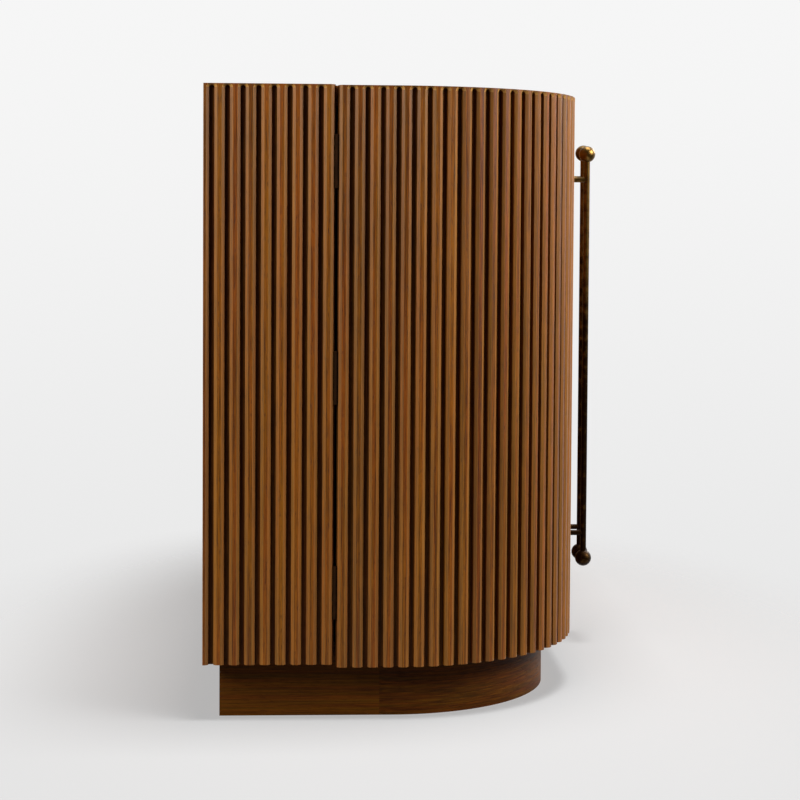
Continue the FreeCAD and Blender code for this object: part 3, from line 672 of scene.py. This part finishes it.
bronze = mottled("brown_bronze", srgb(48, 27, 10), srgb(33, 18, 7), dullness=0.62, metallic=0.0,
                 roughness=0.7, gloss=0.03)
side_screw = screw_blank("side_screw_blank", Matrix.Rotation(math.pi / 2, 4, "Y"))
case_screw_runs = []
for joint in frame["joints"]:
    door = joint["name"].removesuffix("_hinge")
    axis = Vector((*joint["pos_m"][:2], 0))
    outward = Vector((math.copysign(1, axis.x), 0, 0))
    into_case = -outward if "curved" in door else Vector((0, 1, 0))
    to_door = Vector((0, -1, 0)) if "curved" in door else outward
    low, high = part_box(f"{door}_hinge_leaves")
    bottom = low.z + HINGE_HEIGHT / 2
    top = high.z - HINGE_HEIGHT / 2
    door_screw_runs = []
    for level in (bottom, (bottom + top) / 2, top):
        first = axis + into_case * LEAF_SCREW_INSET + Vector((0, 0, level - LEAF_SCREW_SPACING))
        step = Vector((0, 0, LEAF_SCREW_SPACING))
        door_screw_runs.append(screw_run(side_screw, first + to_door * LEAF_FACE, step, 3, -to_door))
        case_screw_runs.append(screw_run(side_screw, first - to_door * LEAF_FACE, step, 3, to_door))
    repaint(f"{door}_hinge_leaves", bronze)
    dressed(in_rows(f"{door}_hinge_screws", door_screw_runs, bronze), door, bronze, "bronze_hinges")
repaint("hinge_case_leaves", bronze)
repaint("hinge_pins", bronze)
dressed(in_rows("case_hinge_screws", case_screw_runs, bronze), "case", bronze, "bronze_hinges")

# Catches and shelf pins: four magnetic catches screwed up under the top, each with two steel pole strips
# that hold a steel strike plate screwed inside the door. Shelves lie on turned steel pins set in holes.
POLE_LENGTH = 0.030
POLE_HEIGHT = 0.0025
POLE_RISE = 0.0001
POLE_SPACING = 0.006
POLE_SINK = 0.001
SCREW_SPREAD = POLE_LENGTH * 0.7
steel = mottled("bright_steel", srgb(188, 187, 184), srgb(132, 131, 129), dullness=0.45, metallic=1.0,
                roughness=0.26)
catch_plastic = mottled("catch_plastic", srgb(70, 56, 44), srgb(48, 37, 28), dullness=0.5, metallic=0.0,
                        roughness=0.42)
repaint("door_catches", catch_plastic)
repaint("shelf_pins", steel)
catch_low, catch_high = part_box("door_catches")
pole_plan = [(-POLE_RISE, -POLE_LENGTH / 2, 0), (POLE_SINK, -POLE_LENGTH / 2, 0),
             (POLE_SINK, POLE_LENGTH / 2, 0), (-POLE_RISE, POLE_LENGTH / 2, 0)]
pole = extruded("pole_blank", filleted(pole_plan), -POLE_HEIGHT / 2, POLE_HEIGHT / 2, POLE_RISE / 2)
down_screw = screw_blank("down_screw_blank", Matrix.Identity(4))
pole_runs = []
catch_screw_runs = []
facing_front = Vector((0, -1, 0))
for joint in frame["joints"]:
    door = joint["name"].removesuffix("_hinge")
    node = f"{door}_strike_plate"
    low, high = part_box(node)
    middle = (low + high) / 2
    spread = Vector((SCREW_SPREAD, 0, 0))
    first = Vector((middle.x, high.y, middle.z)) - spread / 2
    runs = [screw_run(side_screw, first, spread, 2, -facing_front)]
    repaint(node, steel)
    dressed(in_rows(f"{door}_strike_screws", runs, steel), door, steel, "steel")
    lower_pole = Vector((middle.x, catch_low.y, middle.z - POLE_SPACING / 2))
    pole_runs.append(screw_run(pole, lower_pole, (0, 0, POLE_SPACING), 2, facing_front))
    under = Vector((middle.x, (catch_low.y + catch_high.y) / 2, catch_low.z)) - spread / 2
    catch_screw_runs.append(screw_run(down_screw, under, spread, 2, facing_front))
dressed(in_rows("catch_pole_strips", pole_runs, steel), "case", steel, "steel")
dressed(in_rows("catch_screws", catch_screw_runs, steel), "case", steel, "steel")
for blank in (side_screw, down_screw, pole):
    bpy.data.objects.remove(blank)

# Bar handles: a round bar with a ball on each end, carried on two posts that stand in a flute of the door.
# Turned solid brass, darkened with age, and painted brighter going up as painted light.
BALL_DIAMETER = 0.023
BALL_STEPS = 24
BAR_COLLAR = 0.0006
TURNED_SIDES = 40
# Heights over which the brass is painted brighter going up, as painted light.
PAINTED_LIGHT_HEIGHTS = (0.3, 0.68)


def turned(name, parts):
    """Lathe work: each part is a profile of (radius, height) and the matrix that places it."""
    form = bmesh.new()
    for profile, matrix in parts:
        rings = []
        for radius, height in profile:
            sides = TURNED_SIDES if radius > 0 else 1
            ring = []
            for step in range(sides):
                turn = 2 * math.pi * step / TURNED_SIDES
                spot = Vector((radius * math.cos(turn), radius * math.sin(turn), height))
                ring.append(form.verts.new(matrix @ spot))
            rings.append(ring)
        for lower, upper in zip(rings, rings[1:]):
            for step in range(TURNED_SIDES):
                after = (step + 1) % TURNED_SIDES
                loop = [lower[step % len(lower)], lower[after % len(lower)],
                        upper[after % len(upper)], upper[step % len(upper)]]
                form.faces.new(list(dict.fromkeys(loop)))
    return finished_object(name, form)


def ball_profile(radius, neck):
    """From the neck of the bar up over the ball to its pole."""
    start = math.asin(neck / radius)
    points = [(0, -radius * math.cos(start))]
    for step in range(BALL_STEPS):
        turn = start + (math.pi - start) * step / BALL_STEPS
        points.append((radius * math.sin(turn), -radius * math.cos(turn)))
    return points + [(0, radius)]


brass = mottled("antique_brass", srgb(132, 100, 50), srgb(36, 22, 9), dullness=0.76, metallic=1.0,
                roughness=0.3, lit_heights=PAINTED_LIGHT_HEIGHTS)
for side in ("left", "right"):
    for kind in ("curved", "flat"):
        door = f"{side}_{kind}_door"
        low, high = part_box(f"{door}_handle_bar")
        bar_radius = (high.x - low.x) / 2
        middle = (low + high) / 2
        rod = [(0, low.z), (bar_radius, low.z), (bar_radius, high.z), (0, high.z)]
        bar = turned(f"{door}_brass_bar", [(rod, Matrix.Translation((middle.x, middle.y, 0)))])
        dressed(bar, door, brass, "antique_brass", f"{door}_handle_bar")

        profile = ball_profile(BALL_DIAMETER / 2, bar_radius + BAR_COLLAR)
        top = Matrix.Translation((middle.x, middle.y, high.z))
        bottom = Matrix.Translation((middle.x, middle.y, low.z)) @ Matrix.Rotation(math.pi, 4, "X")
        balls = turned(f"{door}_brass_balls", [(profile, top), (profile, bottom)])
        dressed(balls, door, brass, "antique_brass", f"{door}_handle_balls")

        post_low, post_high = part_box(f"{door}_handle_posts")
        post_radius = (post_high.x - post_low.x) / 2
        reach = FRONT + SLAT_DEPTH - middle.y
        shank = [(0, 0), (post_radius, 0), (post_radius, reach), (0, reach)]
        into_door = Matrix.Rotation(-math.pi / 2, 4, "X")
        levels = (post_low.z + post_radius, post_high.z - post_radius)
        parts = [(shank, Matrix.Translation((middle.x, middle.y, level)) @ into_door) for level in levels]
        dressed(turned(f"{door}_brass_posts", parts), door, brass, "antique_brass", f"{door}_handle_posts")

# Stage: a plain pale floor that keeps the cabinet's shadow and fades into the pale surround.
# Seen or mirrored it glows a little; to all other light it is a duller grey, so it throws little back up.
FLOOR_RADIUS = 4.0
FLOOR_GLOW = 0.45
FLOOR_OVAL = (0.6, 1.0, 0.0)
FLOOR_SHIFT = (0.36, 0.0, 0.0)
FLOOR_FADE = (0.4, 0.8)
SURROUND_FILL = (0.07, 0.07, 0.07, 1.0)
floor_form = bmesh.new()
bmesh.ops.create_circle(floor_form, cap_ends=True, segments=96, radius=FLOOR_RADIUS)
floor = finished_object("pale_floor", floor_form)
floor_paint, start = new_material("floor_paint")
spot = start.add("ShaderNodeTexCoord", output="Object")
oval = start.add("ShaderNodeVectorMath", {"operation": "MULTIPLY_ADD"}, {
    0: spot, 1: FLOOR_OVAL, 2: FLOOR_SHIFT})
distance = start.add("ShaderNodeVectorMath", {"operation": "LENGTH"}, {0: oval}, "Value")
seen = start.add("ShaderNodeLightPath", output="Is Camera Ray")
for kind in ("Is Glossy Ray", "Is Transmission Ray"):
    seen = seen.above(start.add("ShaderNodeLightPath", output=kind))
dull = start.add("ShaderNodeBsdfDiffuse", sockets={"Color": srgb(165, 165, 165)})
lit = start.add("ShaderNodeBsdfDiffuse", sockets={"Color": srgb(240, 240, 240)})
glow = start.add("ShaderNodeEmission", sockets={"Color": srgb(250, 250, 250), "Strength": 1.0})
shown = start.add("ShaderNodeMixShader", sockets={0: FLOOR_GLOW, 1: lit, 2: glow})
paint = start.add("ShaderNodeMixShader", sockets={0: seen, 1: dull, 2: shown})
clear = start.add("ShaderNodeBsdfTransparent")
faded = start.add("ShaderNodeMixShader", sockets={0: distance.fade(*FLOOR_FADE), 1: paint, 2: clear})
finish_material(start, faded)
floor.data.materials.append(floor_paint)

surround = bpy.data.worlds.new("pale_surround")
surround.use_nodes = True
surround.node_tree.nodes.clear()
bpy.context.scene.world = surround
start = Channel(surround.node_tree)
toward_x, _, toward_z = start.add("ShaderNodeTexCoord", output="Generated").parts()
seen = start.add("ShaderNodeLightPath", output="Is Camera Ray")
mirrored = start.add("ShaderNodeLightPath", output="Is Glossy Ray").above(
    start.add("ShaderNodeLightPath", output="Is Transmission Ray"))
pale = toward_z.fade(-0.30, 0.13).blend(srgb(230, 230, 230), srgb(246, 246, 246))
room = toward_x.fade(-0.3, 0.5).blend(srgb(72, 70, 68), srgb(240, 240, 240))
level = seen.blend(mirrored.blend(SURROUND_FILL, room), pale)
start.add("ShaderNodeOutputWorld", sockets={
    "Surface": start.add("ShaderNodeBackground", sockets={"Color": level, "Strength": 1.0})})


# Studio lights: two soft panels rake the flutes, one off the back edge and one off the doors; a weaker one
# reaches the far doors and one hangs overhead. A last one lights the floor alone and throws its only
# shadow.
def soft_panel(name, spot, aim, size, power):
    lamp = bpy.data.lights.new(name, "AREA")
    lamp.shape = "RECTANGLE"
    lamp.size, lamp.size_y = size
    lamp.energy = power
    panel = bpy.data.objects.new(name, lamp)
    panel.location = spot
    panel.rotation_mode = "QUATERNION"
    panel.rotation_quaternion = (Vector(aim) - Vector(spot)).to_track_quat("-Z", "Y")
    panel.visible_camera = False
    bpy.context.scene.collection.objects.link(panel)
    return panel


only_floor = bpy.data.collections.new("floor_alone")
only_floor.objects.link(floor)
not_floor = bpy.data.collections.new("all_but_the_floor")
not_floor.objects.link(floor)
not_floor.collection_objects[0].light_linking.link_state = "EXCLUDE"
for name, spot, aim, size, power, lit_things in (
        ("back_edge_panel", (-1.97, 1.81, 1.57), (-0.913, 0.12, 0.42), (1.3, 1.0), 62, not_floor),
        ("doors_panel", (-1.33, -1.80, 1.60), (-0.87, -0.03, 0.42), (1.2, 1.0), 76, not_floor),
        ("far_doors_panel", (1.30, -2.00, 1.70), (0.40, -0.20, 0.42), (1.2, 1.0), 44, not_floor),
        ("overhead_panel", (-0.2, -0.6, 2.8), (-0.2, 0.0, 0.0), (1.8, 1.4), 48, not_floor),
        ("floor_panel", (-0.95, -0.2, 2.8), (-0.95, -0.2, 0.0), (0.9, 0.8), 58, only_floor)):
    soft_panel(name, spot, aim, size, power).light_linking.receiver_collection = lit_things

# Camera: a portrait lens in front of the left end, turned a little towards the doors, the lens shifted
# down so that the cabinet's upright edges draw together only slightly.
CAMERA_SENSOR = 36.0
CAMERA_LENS = 87.22
CAMERA_SHIFT = -0.1173
CAMERA_SPOT = Vector((-3.2184, 0.13997, 0.59877))
CAMERA_YAW = 0.0474
CAMERA_TILT = 0.0432
CAMERA_ROLL = 0.0062
camera_data = bpy.data.cameras.new("end_view")
camera_data.sensor_width = CAMERA_SENSOR
camera_data.lens = CAMERA_LENS
camera_data.shift_y = CAMERA_SHIFT
camera = bpy.data.objects.new("end_view", camera_data)
bpy.context.scene.collection.objects.link(camera)
aim = Vector((math.cos(CAMERA_YAW), -math.sin(CAMERA_YAW), -math.tan(CAMERA_TILT)))
camera.location = CAMERA_SPOT
camera.rotation_mode = "QUATERNION"
camera.rotation_quaternion = aim.to_track_quat("-Z", "Y") @ Quaternion((0, 0, 1), CAMERA_ROLL)
bpy.context.scene.camera = camera
bpy.context.scene.view_settings.view_transform = "Standard"
